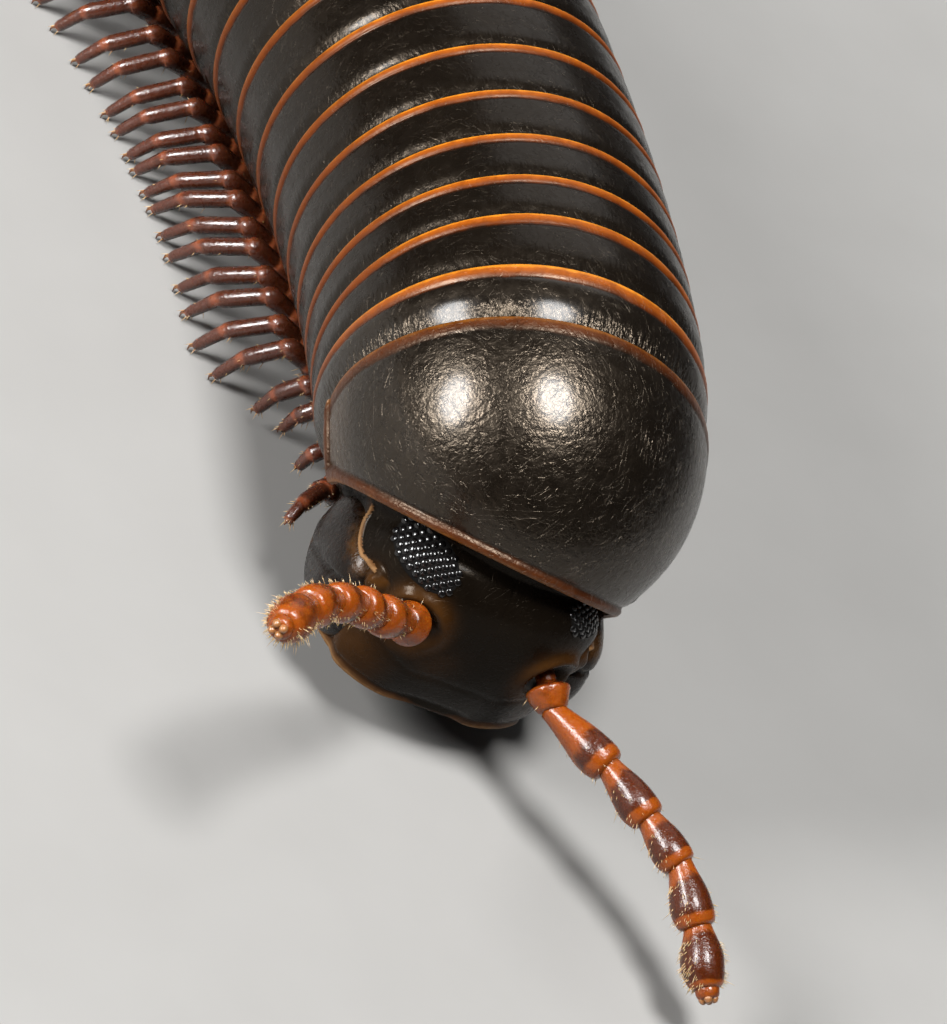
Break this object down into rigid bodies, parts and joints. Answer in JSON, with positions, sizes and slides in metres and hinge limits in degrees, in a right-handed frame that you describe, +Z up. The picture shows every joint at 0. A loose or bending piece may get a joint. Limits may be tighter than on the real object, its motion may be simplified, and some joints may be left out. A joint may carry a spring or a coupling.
{
  "type": "giant african millipede (doratogonus montanus)",
  "caption": "Glossy black cylindrical millipede with narrow orange ring edges, short jointed feelers and rows of small legs, walking on a flat floor.",
  "frame": {"origin": "on the floor, at the centre of the animal's bounding box", "axes": "+Z up, the head towards -Y, the animal's left towards +X"},
  "size_m": [0.0252, 0.1046, 0.011],
  "materials": {
    "black_cuticle": "polished black shell, fine scratches, a narrow orange-brown edge behind each ring",
    "brown_cuticle": "smooth dark red-brown shell, slightly translucent",
    "orange_cuticle": "amber shell with darker red-brown patches, glossy",
    "eye": "close-set glossy black beads"
  },
  "bodies": {
    "root": {"anal_scale": "black_cuticle", "antenna_left": "orange_cuticle", "antenna_right": "orange_cuticle", "cheek_left": "brown_cuticle", "cheek_right": "brown_cuticle", "chin": "brown_cuticle", "collum": "black_cuticle", "eye_left": "eye", "eye_right": "eye", "head": "black_cuticle", "ring_02": "black_cuticle", "ring_03": "black_cuticle", "ring_04": "black_cuticle", "ring_05": "black_cuticle", "ring_06": "black_cuticle", "ring_07": "black_cuticle", "ring_08": "black_cuticle", "ring_09": "black_cuticle", "ring_10": "black_cuticle", "ring_11": "black_cuticle", "ring_12": "black_cuticle", "ring_13": "black_cuticle", "ring_14": "black_cuticle", "ring_15": "black_cuticle", "ring_16": "black_cuticle", "ring_17": "black_cuticle", "ring_18": "black_cuticle", "ring_19": "black_cuticle", "ring_20": "black_cuticle", "ring_21": "black_cuticle", "ring_22": "black_cuticle", "ring_23": "black_cuticle", "ring_24": "black_cuticle", "ring_25": "black_cuticle", "ring_26": "black_cuticle", "ring_27": "black_cuticle", "ring_28": "black_cuticle", "ring_29": "black_cuticle", "ring_30": "black_cuticle", "ring_31": "black_cuticle", "ring_32": "black_cuticle", "ring_33": "black_cuticle", "ring_34": "black_cuticle", "ring_35": "black_cuticle", "ring_36": "black_cuticle", "ring_37": "black_cuticle", "ring_38": "black_cuticle", "ring_39": "black_cuticle", "ring_40": "black_cuticle", "ring_41": "black_cuticle", "ring_42": "black_cuticle", "ring_43": "black_cuticle", "ring_44": "black_cuticle", "ring_45": "black_cuticle", "ring_46": "black_cuticle", "telson": "black_cuticle", "valve_left": "black_cuticle", "valve_right": "black_cuticle"}
  },
  "joints": []
}
